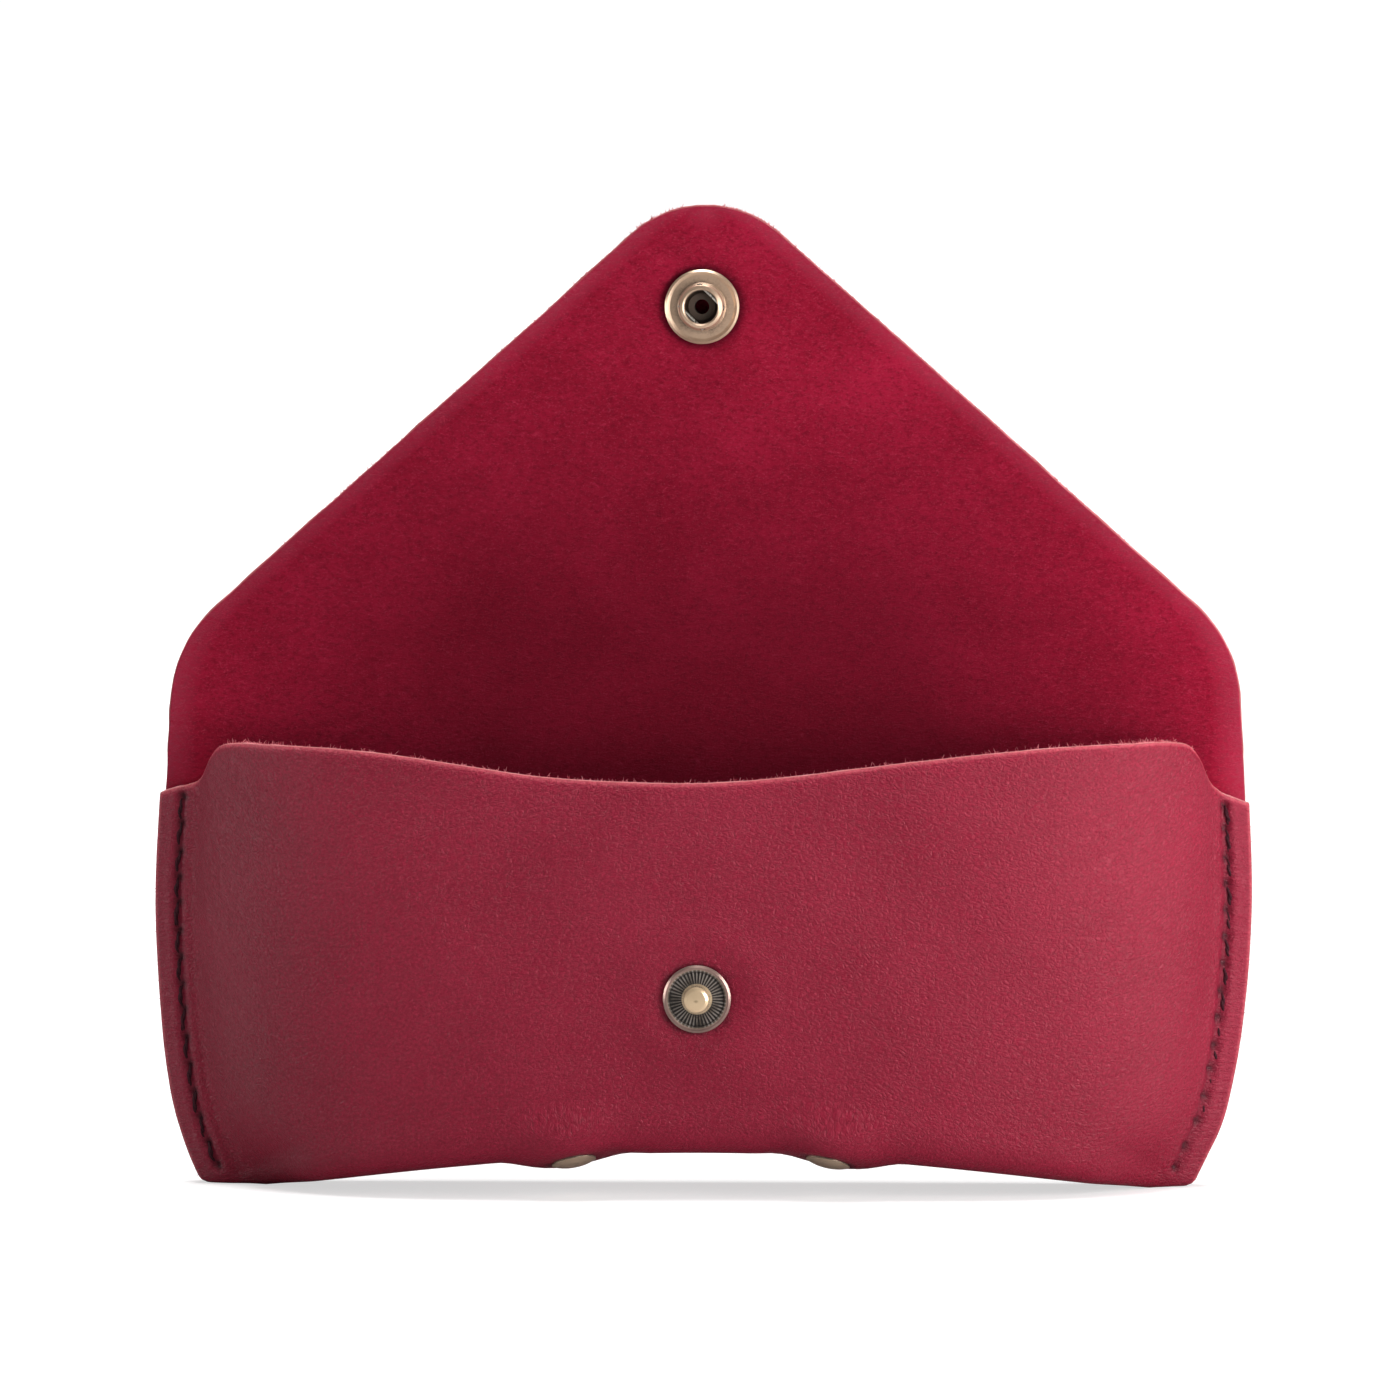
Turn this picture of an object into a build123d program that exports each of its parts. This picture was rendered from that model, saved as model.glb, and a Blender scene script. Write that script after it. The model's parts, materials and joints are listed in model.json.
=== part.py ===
from build123d import *
import math
import os

# A soft leather glasses pouch with an envelope flap, standing open. Millimetres, +Z up, front towards -Y.
# The origin is on the floor, in the middle of the overall box. The shape is drawn about the plane of the
# side seams, Y = 0, and every piece is moved back by SEAM_Y as it is written out. Lengths across are
# half-widths.

# ---- Hide and side seams ----
HIDE = 2.2                    # thickness of the leather
SEAM_WIDTH = 4.9              # flat double layer from the raw edge to where the pocket opens
PLY_GAP = 0.03                # between the two layers at the side seams
BASE_TOP = 10.0               # the folded base ends and the front and back panels start here

# ---- Outline, as half-width and height ----
SIDE_POINTS = [(79.6, 0.0), (84.9, 10.7), (87.7, 26.0), (89.0, 46.0), (88.3, 64.0), (87.2, 79.0)]
SHOULDER = (84.0, 88.8)       # middle of the round between the side and the slanted edge
SLANT_START = (78.3, 95.9)
SLANT_END = (11.9, 154.9)
TIP_TOP = 159.8
MOUTH_POINTS = [(0.0, 66.8), (24.0, 68.0), (44.0, 70.9), (60.0, 72.6), (72.5, 72.4), (79.8, 70.0),
                (84.0, 65.0), (88.6, 62.0)]

# ---- Belly of the pouch ----
FRONT_BELLY = 18.8            # how far the front's inner face stands from the seam plane at its fullest
BELLY_HEIGHT = 32.0
FRONT_MOUTH_IN = 3.0          # how much shallower the front is at the mouth
FRONT_BASE_IN = 2.5           # and at the base
BACK_BELLY = 3.6              # the back is almost flat
BACK_CREASE = 0.6             # the back leaves the seam this much nearer the middle than the front
BACK_MOUTH = 1.0              # its depth at the fold line, where it runs on into the flap
SQUARENESS = 8                # power of the plan curve: high is a flat front with tight side turns
BASE_LIFT = 5.6               # the base arches this far off the floor in the middle
PINCH_LIFT = 0.6              # and a little more between the two rivets
ARCH_HALF = 70.0              # half-length of the arch: outside it the pouch rests on the floor
PAD_SINK = 0.5                # depth trimmed off there, which makes the two rests flat
PINCH_HALF = 25.0
BASE_MIDDLE_Y = -7.8
BASE_HALF_WIDTH = 13.0
TURN_HEIGHT = 9.0             # height of the rounded turn from base to panel
TURN_POWER = 6

# ---- Flap folds ----
REAR_FOLD_Z = 70.0
FOLD_Y = BACK_MOUTH           # both fold axes lie on the flap's inner face
FOLD_GAP = 2.0                # left between two rigid stretches of the hide at a fold
SHUT_FLAP_Y = -25.0           # the flap's inner face when it is snapped shut
SHUT_RISE = 9.0               # how much the shut flap climbs from the rear fold to the front fold
BRIDGE_LENGTH = math.hypot(FOLD_Y - SHUT_FLAP_Y, SHUT_RISE)
FRONT_FOLD_Z = REAR_FOLD_Z + BRIDGE_LENGTH

# ---- Snap fastener ----
STUD_Z = BELLY_HEIGHT + 1.05
SNAP_Z = FRONT_FOLD_Z + REAR_FOLD_Z + SHUT_RISE - STUD_Z
STUD_SINK = 0.1               # the stud is pressed this far into the leather
STUD_SEAT_Y = -(HIDE + FRONT_BELLY) + STUD_SINK
STUD_HEIGHT = 2.7
SEAM_Y = (STUD_HEIGHT - STUD_SEAT_Y - HIDE - BACK_BELLY) / 2
CAP_GAP = 0.05                # under the snap cap
SOCKET_R = 6.05
SOCKET_HOLE_R = 2.73
BARREL_R = 3.7
BARREL_HEIGHT = 3.0
WIRE_R = 0.25
WIRE_OFFSET = 2.4
WIRE_HEIGHT = 2.4
WIRE_LENGTH = 5.6
CAP_R = 6.3
STUD_R = 5.45
STUD_BALL_R = 2.1
FLUTES = 44
POST_R = 1.5
POST_BORE_R = 1.2
FIT = 0.05                    # running clearance round posts and in seats

# ---- Rivets and the stay they hold ----
RIVET_X = 20.6
RIVET_Y = -15.0
RIVET_CAP_R = 3.6
RIVET_TILT = 18.0             # degrees that each cap looks forward of straight down
RIVET_ROLL = 12.0             # degrees that each cap leans towards the middle
STAY_HALF_LENGTH = 31.0
STAY_THICK = 2.0
STAY_Y = (-16.3, -1.0)
STAY_GAP = 0.1
RIVET_SINK = 0.6              # each outer cap is let this far into the hide
RIVET_DOME = 0.9
RIVET_EDGE = 0.25
RIVET_SHANK_R = 0.9
RIVET_TUBE_R = 1.35
RIVET_TUBE_LENGTH = 2.4
RIVET_GRIP = HIDE + STAY_GAP + STAY_THICK - RIVET_SINK + 0.4

# ---- Saddle stitching ----
STITCH_INSET = 3.3            # from the raw edge
STITCH_PITCH = 4.3
STITCH_TOP_Z = 61.8
STITCH_END_Z = 5.0
THREAD_R = 0.4
AWL_R = 0.47
AWL_REACH = 8.0

# ---- Blocks, grids and cutters that the pieces are cut from and with: each reaches past the leather ----
REACH_X = 92.0
REACH_Y = 40.0
REACH_UP = 120.0
FLAP_REACH = 170.0
EYELET_SEAT_R = 5.0
PANEL_TOP = 84.0              # above the mouth, and below the hide's shoulders
POCKET_REACH_X = 86.0
WALL_REACH_X = 87.0
WALL_GRID = (59, 23)
FLOOR_REACH_Y = (-25.0, 10.0)
FLOOR_GRID = (63, 27)
CUT_LENGTH = 6.0
UPWARD = (Align.CENTER, Align.CENTER, Align.MIN)
DOWNWARD = (Align.CENTER, Align.CENTER, Align.MAX)

os.makedirs("parts", exist_ok=True)


# ---------------------------------------------------------------- shape of the pouch
def side_edge():
    """The raw right-hand edge of the seam, from the floor to below the shoulder."""
    return Spline(*[(x, 0, z) for x, z in SIDE_POINTS])


def edge_x(z):
    """Half-width of the pouch at height z, read from a smooth power curve close to the raw edge."""
    low, full, full_z = SIDE_POINTS[0][0], SIDE_POINTS[3][0], SIDE_POINTS[3][1]
    drop = max(full_z - z, 0) / full_z
    return full - (full - low) * drop ** 3


def pocket_x(z):
    """Half-width at which the pocket opens, on the outside of the leather."""
    return edge_x(z) - SEAM_WIDTH


def belly(z, full, mouth_in, base_in):
    """Depth of a panel's inner face at height z."""
    if z > BELLY_HEIGHT:
        return full - mouth_in * ((z - BELLY_HEIGHT) / (REAR_FOLD_Z - BELLY_HEIGHT)) ** 2
    return full - base_in * ((BELLY_HEIGHT - z) / BELLY_HEIGHT) ** 2


def front_depth(z):
    return belly(z, FRONT_BELLY, FRONT_MOUTH_IN, FRONT_BASE_IN)


def back_depth(z):
    return belly(min(z, REAR_FOLD_Z), BACK_BELLY, BACK_BELLY - BACK_MOUTH, 1.2)


def fullness(x, half):
    """1 in the middle of the pouch, 0 at the seam and negative past it."""
    return 1 - (abs(x) / half) ** SQUARENESS


def front_outer(x, z):
    return -HIDE - front_depth(z) * fullness(x, pocket_x(z))


def front_inner(x, z):
    return -front_depth(z) * fullness(x, pocket_x(z) - HIDE)


def back_outer(x, z):
    return HIDE + back_depth(z) * fullness(x, pocket_x(z))


def back_inner(x, z):
    return back_depth(z) * fullness(x, pocket_x(z) - HIDE - BACK_CREASE)


def base_outer(x, y):
    """Height of the underside of the folded base, before the rests are trimmed flat at the floor."""
    arch = BASE_LIFT * (1 - (x / ARCH_HALF) ** 2)
    pinch = PINCH_LIFT / (1 + (x / PINCH_HALF) ** 6)
    across = (y - BASE_MIDDLE_Y) / BASE_HALF_WIDTH
    return arch + pinch + TURN_HEIGHT * across ** TURN_POWER - PAD_SINK


def base_inner(x, y):
    return base_outer(x, y) + HIDE


def spread(low, high, count):
    return [low + (high - low) * i / (count - 1) for i in range(count)]


def wall_face(depth_at):
    """A spline face standing over the XZ plane."""
    across, up = WALL_GRID
    rows = [[(x, depth_at(x, z), z) for x in spread(-WALL_REACH_X, WALL_REACH_X, across)]
            for z in spread(-4, PANEL_TOP, up)]
    return Face.make_surface_from_array_of_points(rows, tol=0.02)


def floor_face(height_at):
    """A spline face lying over the XY plane."""
    across, deep = FLOOR_GRID
    rows = [[(x, y, height_at(x, y)) for x in spread(-REACH_X, REACH_X, across)]
            for y in spread(*FLOOR_REACH_Y, deep)]
    return Face.make_surface_from_array_of_points(rows, tol=0.02)


def block(low, high):
    """A box from its lowest corner to its highest."""
    size = [b - a for a, b in zip(low, high)]
    return Pos(*low) * Box(*size, align=(Align.MIN, Align.MIN, Align.MIN))


def mirrored_outline(points_right, bottom_z):
    """Closed face in the XZ plane from right-hand edges and their mirror images."""
    left = [edge.mirror(Plane.YZ) for edge in points_right]
    ends = [point for edge in points_right for point in (edge @ 0, edge @ 1)]
    lowest = min(ends, key=lambda point: point.Z)
    closing = Line((-lowest.X, 0, bottom_z), (lowest.X, 0, bottom_z))
    return make_face(points_right + left + [closing])


def hide_outline():
    """The cut outline of the back and the flap, extruded right through the pouch."""
    side = side_edge()
    middle, start, end = (Vector(x, 0, z) for x, z in (SHOULDER, SLANT_START, SLANT_END))
    shoulder = Spline(side @ 1, middle, start, tangents=(side % 1, end - start))
    slant = Line(start, end)
    tip = Spline(slant @ 1, (0, 0, TIP_TOP), tangents=(slant % 1, Vector(-1, 0, 0)))
    face = mirrored_outline([side, shoulder, slant, tip], 0)
    return extrude(face, 60, dir=(0, 1, 0), both=True)


def mouth_outline():
    """Everything below the front panel's curved top edge, and below the seam's cut top."""
    top = Spline(*[(x, 0, z) for x, z in MOUTH_POINTS], tangents=(Vector(1, 0, 0), Vector(1, 0, -0.3)))
    down = Line(top @ 1, ((top @ 1).X, 0, -5))
    face = mirrored_outline([top, down], -5)
    return extrude(face, 60, dir=(0, 1, 0), both=True)


# ---------------------------------------------------------------- stitching
def stitch_holes(side):
    """Centres of the awl holes down one side seam, in the XZ plane."""
    edge = side_edge()
    inset = []
    for share in spread(0, 1, 400):
        point, along = edge @ share, edge % share
        inset.append((point.X - STITCH_INSET * along.Z, point.Z + STITCH_INSET * along.X))
    inset = [point for point in reversed(inset) if STITCH_END_Z <= point[1] <= STITCH_TOP_Z]
    holes = [inset[0]]
    for x, z in inset:
        if math.hypot(x - holes[-1][0], z - holes[-1][1]) >= STITCH_PITCH:
            holes.append((x, z))
    return [(side * x, z) for x, z in holes]


def rod(start, end, radius):
    """A round rod between two points."""
    line = Vector(*end) - Vector(*start)
    return Plane(origin=start, z_dir=line) * Cylinder(radius, line.length, align=UPWARD)


def awl_cuts(side):
    """The awl holes of one seam, through both layers."""
    return [rod((x, -AWL_REACH, z), (x, AWL_REACH, z), AWL_R) for x, z in stitch_holes(side)]


def stitching(side):
    """One thread of saddle stitch: a leg in every hole, a stitch on both faces between holes."""
    face_y = HIDE + THREAD_R + 0.02
    holes = stitch_holes(side)
    pieces = [rod((x, -face_y, z), (x, face_y, z), THREAD_R) for x, z in holes]
    for y in (-face_y, face_y):
        pieces += [Pos(x, y, z) * Sphere(THREAD_R) for x, z in holes]
        pieces += [rod((x0, y, z0), (x1, y, z1), THREAD_R) for (x0, z0), (x1, z1) in zip(holes, holes[1:])]
    return pieces[0] + pieces[1:]


# ---------------------------------------------------------------- turned metal parts
def turned(outline):
    """Solid of revolution about Z from (radius, height) points."""
    face = make_face(Polyline(*[(r, 0, h) for r, h in outline], close=True))
    return revolve(face, Axis.Z)


def domed(radius, edge_height, top_height):
    """A solid dome: flat underneath, round on top."""
    middle, centre, corner = (0, 0, top_height), (0, 0, 0), (radius, 0, 0)
    edge = (radius, 0, edge_height)
    part_way = (radius * 0.62, 0, edge_height + (top_height - edge_height) * 0.72)
    arc = ThreePointArc(middle, part_way, edge)
    outline = [arc, Line(edge, corner), Line(corner, centre), Line(centre, middle)]
    return revolve(make_face(outline), Axis.Z)


SNAP_IN = Plane(origin=(0, FOLD_Y, SNAP_Z), x_dir=(1, 0, 0), z_dir=(0, -1, 0))
SNAP_OUT = Plane(origin=(0, FOLD_Y + HIDE + CAP_GAP, SNAP_Z), x_dir=(1, 0, 0), z_dir=(0, 1, 0))
STUD_OUT = Plane(origin=(0, STUD_SEAT_Y, STUD_Z), x_dir=(1, 0, 0), z_dir=(0, -1, 0))


def snap_cap_shell():
    """Domed cap on the grain side of the flap, hollow over the post's flange."""
    shell = domed(CAP_R, 0.6, 1.9) - domed(CAP_R - 0.5, 0.3, 1.5)
    rim = turned([(4.9, 0), (CAP_R - 0.3, 0), (CAP_R - 0.3, 0.3), (4.9, 0.3)])
    return SNAP_OUT * (shell + rim)


def snap_cap_post():
    """Flanged tube that runs through the hide and is rolled over inside the socket."""
    tube_end = -(HIDE + CAP_GAP + 1.0)
    tube = [(POST_BORE_R, 0.0), (POST_BORE_R, tube_end), (2.2, tube_end), (2.2, tube_end + 0.3)]
    flange = [(POST_R, tube_end + 0.5), (POST_R, 0.02), (4.7, 0.02), (4.7, 0.4), (0, 0.4), (0, 0.0)]
    return SNAP_OUT * turned(tube + flange)


def wires():
    """The socket's two spring wires, lying aslant either side of the hole."""
    aslant = SNAP_IN * Rot(0, 0, -45)
    return [aslant * Pos(0, offset, WIRE_HEIGHT) * Rot(0, 90, 0) * Cylinder(WIRE_R, WIRE_LENGTH)
            for offset in (-WIRE_OFFSET, WIRE_OFFSET)]


def snap_socket():
    """Flanged ring with a barrel that takes the stud, slotted for the spring wires."""
    flange = [(POST_R + FIT, 0), (5.6, 0), (SOCKET_R, 0.35), (SOCKET_R, 0.75), (5.7, 1.05), (5.2, 0.85)]
    barrel = [(BARREL_R + 0.25, 0.85), (BARREL_R, 1.1), (BARREL_R, 2.5), (3.45, 2.85), (3.0, BARREL_HEIGHT)]
    inside = [(SOCKET_HOLE_R, 2.8), (SOCKET_HOLE_R, 2.7), (3.2, 2.7), (3.2, 0.5), (POST_R + FIT, 0.5)]
    ring = turned(flange + barrel + inside)
    slots = [SNAP_IN * Rot(0, 0, -45) * Pos(0, offset, WIRE_HEIGHT) * Box(2 * BARREL_R, 0.62, 0.62)
             for offset in (-WIRE_OFFSET, WIRE_OFFSET)]
    return SNAP_IN * ring - slots


def snap_stud():
    """Flanged stud with a fluted recess round its ball-headed post."""
    rim = [(POST_R + FIT, 0), (5.1, 0), (STUD_R, 0.3), (STUD_R, 0.65), (5.1, 0.9), (4.5, 0.8)]
    recess = [(4.3, 0.35), (2.55, 0.35), (2.5, 0.7)]
    neck = [(1.85, 0.8), (1.75, 1.4), (2.0, 1.7)]
    ball = [(STUD_BALL_R, 2.05), (1.95, 2.4), (1.5, 2.62), (0, STUD_HEIGHT), (0, 2.1), (POST_R + FIT, 2.1)]
    body = turned(rim + recess + neck + ball)
    flute = Pos(3.45, 0, 0.45) * Box(1.7, 0.24, 0.24)
    return STUD_OUT * (body + PolarLocations(0, FLUTES) * flute)


def snap_stud_eyelet():
    """Flanged tube behind the front panel that is set into the stud."""
    flange = [(POST_BORE_R, -HIDE - 0.6), (4.6, -HIDE - 0.6), (4.8, -HIDE - 0.4), (4.8, -HIDE - 0.02)]
    tube = [(POST_R, -HIDE - 0.02), (POST_R, 2.0), (POST_BORE_R, 2.0)]
    return STUD_OUT * turned(flange + tube)


def rivet_plane(side):
    """Seat of a rivet's outer cap: z_dir looks down, forward and towards the middle."""
    tilt, roll = math.radians(RIVET_TILT), math.radians(RIVET_ROLL)
    flat = math.cos(tilt)
    down = Vector(-side * math.sin(roll) * flat, -math.sin(tilt), -math.cos(roll) * flat)
    seat_z = base_outer(RIVET_X, RIVET_Y) + RIVET_SINK
    return Plane(origin=(side * RIVET_X, RIVET_Y, seat_z), x_dir=(1, 0, 0), z_dir=down)


def rivet_cap(side):
    """Outer domed cap, with the socket that the post is pressed into."""
    dome = domed(RIVET_CAP_R, RIVET_EDGE, RIVET_DOME)
    bore = RIVET_SHANK_R + FIT
    end = -RIVET_TUBE_LENGTH
    tube = turned([(bore, end), (RIVET_TUBE_R, end), (RIVET_TUBE_R, 0.1), (bore, 0.1)])
    return rivet_plane(side) * (dome + tube)


def rivet_post(side):
    """Inner domed cap and its solid post."""
    head = Pos(0, 0, -RIVET_GRIP) * Rot(180, 0, 0) * domed(RIVET_CAP_R, RIVET_EDGE, RIVET_DOME)
    shank = Pos(0, 0, -RIVET_GRIP) * Cylinder(RIVET_SHANK_R, RIVET_GRIP - 0.1, align=UPWARD)
    return rivet_plane(side) * (head + shank)


def rivet_clearance(side):
    """Room for a rivet: its shank hole, and flat seats under both caps."""
    hole = Cylinder(RIVET_TUBE_R + FIT, 2 * CUT_LENGTH)
    under = Cylinder(RIVET_CAP_R + FIT, CUT_LENGTH, align=UPWARD)
    over = Pos(0, 0, -RIVET_GRIP) * Cylinder(RIVET_CAP_R + FIT, CUT_LENGTH, align=DOWNWARD)
    return rivet_plane(side) * (hole + under + over)


# ---------------------------------------------------------------- leather
def above(height_at):
    """Everything over a floor surface."""
    return extrude(floor_face(height_at), REACH_UP, dir=(0, 0, 1))


def half_block(facing, x, low_z):
    """One side of the seam plane: facing is -1 for the front and 1 for the back."""
    near, far = sorted((0, facing * REACH_Y))
    return block((-x, near, low_z), (x, far, PANEL_TOP))


def pocket_half(facing, inner):
    """The part of the pocket in front of or behind the seam plane, open at the top."""
    space = extrude(wall_face(inner), REACH_UP, dir=(0, -facing, 0))
    return space & half_block(facing, POCKET_REACH_X, HIDE) & above(base_inner)


def hide_half(facing, outer, inner):
    """One side of the pouch from the base to above the mouth, with its flat side seams."""
    half = extrude(wall_face(outer), REACH_UP, dir=(0, -facing, 0))
    half &= half_block(facing, POCKET_REACH_X, 0)
    near, far = sorted((0, facing * HIDE))
    half += block((-REACH_X, near, 0), (REACH_X, far, PANEL_TOP))
    half &= above(base_outer)
    half &= hide_outline()
    return half - pocket_half(facing, inner)


def slab(solid, low_z, high_z):
    """What a solid has between two heights."""
    return solid & block((-REACH_X, -REACH_Y, low_z), (REACH_X, REACH_Y, high_z))


def leather_front(hide):
    """The front panel, below the mouth's curved edge, with room for the snap's stud and its eyelet."""
    post = STUD_OUT * Cylinder(POST_R + FIT, 2 * CUT_LENGTH)
    seat = STUD_OUT * Cylinder(STUD_R + FIT, CUT_LENGTH, align=UPWARD)
    eyelet = STUD_OUT * Pos(0, 0, -HIDE) * Cylinder(EYELET_SEAT_R, CUT_LENGTH, align=DOWNWARD)
    ahead = block((-REACH_X, -REACH_Y, 0), (REACH_X, -PLY_GAP, REACH_UP))
    panel = slab(hide, BASE_TOP, PANEL_TOP) & ahead & mouth_outline()
    return panel - post - seat - eyelet - awl_cuts(-1) - awl_cuts(1)


def leather_base(front_hide, back_hide):
    """The folded base with the lowest of both panels, and the holes for the rivets."""
    base = slab(front_hide, 0, BASE_TOP - PLY_GAP) + slab(back_hide, 0, BASE_TOP - PLY_GAP)
    return base - [rivet_clearance(-1), rivet_clearance(1)] - awl_cuts(-1) - awl_cuts(1)


def leather_back(hide):
    """The back panel, up to the rear fold."""
    behind = block((-REACH_X, PLY_GAP, 0), (REACH_X, REACH_Y, REACH_UP))
    panel = slab(hide, BASE_TOP, REAR_FOLD_Z - FOLD_GAP / 2) & behind
    return panel - awl_cuts(-1) - awl_cuts(1)


def flap_hide():
    """The hide above the rear fold: the back panel's plan curve carried straight up."""
    half = pocket_x(REAR_FOLD_Z)
    line = Spline(*[(x, BACK_MOUTH * fullness(x, half) if abs(x) < half else 0.0, 0)
                    for x in (-92, -88, -half, -76, -66, -50, 0, 50, 66, 76, half, 88, 92)])
    outer = Pos(0, HIDE, 0) * line
    ends = [Line(line @ 0, outer @ 0), Line(line @ 1, outer @ 1)]
    return extrude(make_face([line, outer] + ends), FLAP_REACH, dir=(0, 0, 1)) & hide_outline()


def leather_flap_bridge(flap):
    """The strip between the two folds, which lies over the mouth when the case is shut."""
    return slab(flap, REAR_FOLD_Z + FOLD_GAP / 2, FRONT_FOLD_Z - FOLD_GAP / 2)


def leather_flap_front(flap):
    """The flap's pointed end, with the hole for the snap's post."""
    post = SNAP_OUT * Cylinder(POST_R + FIT, 2 * CUT_LENGTH)
    return slab(flap, FRONT_FOLD_Z + FOLD_GAP / 2, FLAP_REACH) - post


def base_stay():
    """Leather strip inside the base, under the rivets' inner caps."""
    strip = block((-STAY_HALF_LENGTH, STAY_Y[0], 0), (STAY_HALF_LENGTH, STAY_Y[1], PANEL_TOP))
    strip &= above(lambda x, y: base_inner(x, y) + STAY_GAP)
    strip -= above(lambda x, y: base_inner(x, y) + STAY_GAP + STAY_THICK)
    return strip - [rivet_clearance(-1), rivet_clearance(1)]


def main():
    front_hide = hide_half(-1, front_outer, front_inner)
    back_hide = hide_half(1, back_outer, back_inner)
    flap = flap_hide()
    nodes = {
        "leather_front": leather_front(front_hide),
        "leather_base": leather_base(front_hide, back_hide),
        "leather_back": leather_back(back_hide),
        "leather_flap_bridge": leather_flap_bridge(flap),
        "leather_flap_front": leather_flap_front(flap),
        "base_stay": base_stay(),
        "stitching_left": stitching(-1),
        "stitching_right": stitching(1),
        "snap_cap_shell": snap_cap_shell(),
        "snap_cap_post": snap_cap_post(),
        "snap_socket": snap_socket(),
        "snap_spring": Compound(wires()),
        "snap_stud": snap_stud(),
        "snap_stud_eyelet": snap_stud_eyelet(),
        "rivet_left_cap": rivet_cap(-1),
        "rivet_left_post": rivet_post(-1),
        "rivet_right_cap": rivet_cap(1),
        "rivet_right_post": rivet_post(1),
    }
    for name, solid in nodes.items():
        export_step(Pos(0, SEAM_Y, 0) * solid, f"parts/{name}.step")
    print("fold axes at y", FOLD_Y + SEAM_Y, "z", REAR_FOLD_Z, FRONT_FOLD_Z, "seam plane y", SEAM_Y)
    print("rear fold when shut, degrees", math.degrees(math.atan2(FOLD_Y - SHUT_FLAP_Y, SHUT_RISE)))


main()
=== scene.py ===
import json
import math

import bmesh
import bpy
import numpy as np
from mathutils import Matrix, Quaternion, Vector

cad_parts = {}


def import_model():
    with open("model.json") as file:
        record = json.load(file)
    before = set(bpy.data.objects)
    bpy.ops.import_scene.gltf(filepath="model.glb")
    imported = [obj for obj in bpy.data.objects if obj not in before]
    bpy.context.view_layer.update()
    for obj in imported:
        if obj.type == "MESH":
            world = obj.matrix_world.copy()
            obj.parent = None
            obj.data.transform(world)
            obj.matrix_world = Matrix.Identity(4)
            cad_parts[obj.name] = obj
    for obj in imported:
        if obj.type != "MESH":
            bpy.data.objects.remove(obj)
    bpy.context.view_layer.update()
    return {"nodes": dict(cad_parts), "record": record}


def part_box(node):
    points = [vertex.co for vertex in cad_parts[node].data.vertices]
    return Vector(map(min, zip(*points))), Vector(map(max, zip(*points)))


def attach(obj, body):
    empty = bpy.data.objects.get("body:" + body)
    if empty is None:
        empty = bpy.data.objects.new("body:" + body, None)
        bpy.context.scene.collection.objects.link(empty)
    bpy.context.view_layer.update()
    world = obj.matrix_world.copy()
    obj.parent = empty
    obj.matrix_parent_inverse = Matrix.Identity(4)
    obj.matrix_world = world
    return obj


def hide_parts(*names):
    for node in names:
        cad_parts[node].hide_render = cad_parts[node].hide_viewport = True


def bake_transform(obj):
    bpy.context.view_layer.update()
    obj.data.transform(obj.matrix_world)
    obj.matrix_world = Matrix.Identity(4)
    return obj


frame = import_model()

# Soft leather glasses pouch with an envelope flap. The hide is drawn in millimetres about the plane of the
# side seams, with its height as Z, and is moved to the frame, in metres, as each mesh is made.
MM = 0.001
RNG = np.random.default_rng(4)


def middle(node):
    return [(a + b) / 2 / MM for a, b in zip(*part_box(node))]


JOINTS = {joint["name"]: joint for joint in frame["record"]["behaviour"]["joints"]}
SEAM_Y = middle("stitching_left")[1]
REAR_FOLD = [value / MM for value in JOINTS["rear_fold"]["pos_m"]]
FRONT_FOLD = [value / MM for value in JOINTS["front_fold"]["pos_m"]]
SNAP_Z = middle("snap_socket")[2]
STUD_Z = middle("snap_stud")[2]
SPLIT_Z = (REAR_FOLD[2] + FRONT_FOLD[2]) / 2

# ---- the hide ----
OUTSIDE = 2.2  # from the seam plane to the grain side, where the two plies lie together
THICK = 2.15  # a little less than OUTSIDE, so that the two plies' flesh sides don't touch
SEAM_WIDTH = 4.9
SWEEP = 1.2  # how far the side seams bend back at their raw edge
BELLY_Z = 32.0
FRONT_BELLY = 18.8  # how far the front stands out at BELLY_Z, beyond OUTSIDE
FRONT_MOUTH_IN = 3.0  # how much less at the mouth
FRONT_BASE_IN = 2.5  # how much less at the base
BACK_BELLY = 2.6
FOLD_DEPTH = 1.0  # how far the back and the flap stand out, beyond OUTSIDE
BELLY_TO_MOUTH = 38
BACK_REACH = 34  # above and below BELLY_Z, where the back's belly has died away
SQUARENESS = 6
RISE_REACH = 84
RISE_STEP = 0.05
RISE_BLUR = 1.1
BLUR_STEPS = 60

# ---- the base: it arches up in the middle, and turns in from front to back ----
BASE_Z = 4.0  # where the width of the base is taken
BASE_LIFT = 6.4
ARCH_HALF = 74.0
PINCH_LIFT = 0.55
PINCH_HALF = 25.0
BASE_TURN = 7.6
BASE_SQUARE = 3.8

# ---- stitches and fasteners ----
STITCH_INSET = 3.3
STITCH_PITCH = 4.3
STITCH_FOOT = 1.6
STITCH_TOP = {-1: 64.2, 1: 62.9}
GROOVE = 0.62
THREAD_R = 0.25
PLY_SWING = 0.16
PLY_TURNS = 1.15
THREAD_SINK = 1.15
SOCKET_R = 6.05
CAP_R = 6.3
STUD_R = 5.45
STUD_SEAT = -20.9
RIVET_R = 3.6
RIVET_SEAT = (20.6, -15.0, 5.93)
RIVET_TILT = math.radians(18)
RIVET_ROLL = math.radians(12)
FLUTES = 44

# ---- raw edges ----
EDGE_BULGE = 0.26
EDGE_ROUGHNESS = 0.11
EDGE_PLACE = 50  # keeps the raw edge's pattern away from the hide's own
FIBRE_R = 0.035
MOUTH_WEAR, POUCH_WEAR, FLAP_WEAR = 0.8, 0.45, 0.6

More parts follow.
